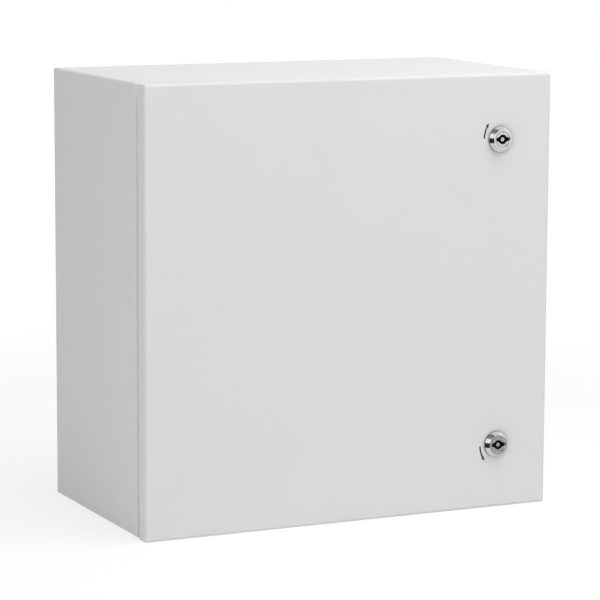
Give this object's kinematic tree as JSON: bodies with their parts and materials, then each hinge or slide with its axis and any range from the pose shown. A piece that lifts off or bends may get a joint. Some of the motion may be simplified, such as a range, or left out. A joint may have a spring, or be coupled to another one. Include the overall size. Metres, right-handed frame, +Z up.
{
  "type": "steel wall enclosure",
  "caption": "Square steel wall enclosure with a full-face door on concealed hinges, double-bit quarter-turn locks, a mounting plate and a gland plate in the bottom.",
  "frame": {"origin": "centre of the four wall-fixing holes, on the rear outer face of the case", "axes": "+Z up the enclosure, +Y out of the rear face into the wall so that the door faces -Y, +X to the right of someone facing the door; the door is hinged on its -X side"},
  "size_m": [0.5, 0.2836, 0.5],
  "materials": {
    "enclosure_paint": "light grey polyester powder coat, fine orange peel, satin",
    "galvanised_steel": "galvanised sheet with a soft spangle",
    "zinc_plated_steel": "bright zinc plate",
    "stud_steel": "copper-flashed weld-stud steel, dull",
    "earth_brass": "turned brass",
    "gasket_foam": "foamed polyurethane, matt",
    "lock_rubber": "moulded rubber, matt",
    "lock_chrome": "chrome-plated die casting, polished"
  },
  "bodies": {
    "case": {"case_shell": "enclosure_paint", "front_frame": "enclosure_paint", "rear_panel": "enclosure_paint", "mounting_plate": "galvanised_steel", "mounting_plate_studs": "stud_steel", "mounting_plate_washers": "zinc_plated_steel", "mounting_plate_nuts": "zinc_plated_steel", "gland_plate": "enclosure_paint", "gland_plate_gasket": "gasket_foam", "gland_plate_studs": "stud_steel", "gland_plate_nuts": "zinc_plated_steel", "case_earth_stud": "earth_brass", "case_earth_washer": "zinc_plated_steel", "case_earth_nut": "zinc_plated_steel", "upper_hinge_case_bracket": "zinc_plated_steel", "upper_hinge_pin": "stud_steel", "lower_hinge_case_bracket": "zinc_plated_steel", "lower_hinge_pin": "stud_steel"},
    "door": {"door_panel": "enclosure_paint", "door_gasket": "gasket_foam", "hinge_side_door_rail": "galvanised_steel", "lock_side_door_rail": "galvanised_steel", "upper_hinge_door_leaf": "zinc_plated_steel", "lower_hinge_door_leaf": "zinc_plated_steel", "door_hinge_studs": "stud_steel", "door_hinge_nuts": "zinc_plated_steel", "door_earth_stud": "earth_brass", "door_earth_washer": "zinc_plated_steel", "door_earth_nut": "zinc_plated_steel", "upper_lock_housing": "lock_chrome", "upper_lock_seal": "lock_rubber", "upper_lock_nut": "zinc_plated_steel", "lower_lock_housing": "lock_chrome", "lower_lock_seal": "lock_rubber", "lower_lock_nut": "zinc_plated_steel"},
    "upper_lock": {"upper_lock_rotor": "lock_chrome", "upper_lock_cam": "zinc_plated_steel", "upper_cam_washer": "zinc_plated_steel", "upper_cam_screw": "zinc_plated_steel"},
    "lower_lock": {"lower_lock_rotor": "lock_chrome", "lower_lock_cam": "zinc_plated_steel", "lower_cam_washer": "zinc_plated_steel", "lower_cam_screw": "zinc_plated_steel"}
  },
  "joints": [
    {"name": "door_hinge", "type": "hinge", "parent": "case", "child": "door", "pos_m": [-0.2415, -0.2646, 0], "axis": [0, 0, -1], "range_deg": [0, 120]},
    {"name": "upper_lock_turn", "type": "hinge", "parent": "door", "child": "upper_lock", "pos_m": [0.1845, -0.277, 0.176], "axis": [0, -1, 0], "range_deg": [0, 90]},
    {"name": "lower_lock_turn", "type": "hinge", "parent": "door", "child": "lower_lock", "pos_m": [0.1845, -0.277, -0.176], "axis": [0, 1, 0], "range_deg": [0, 90]}
  ]
}
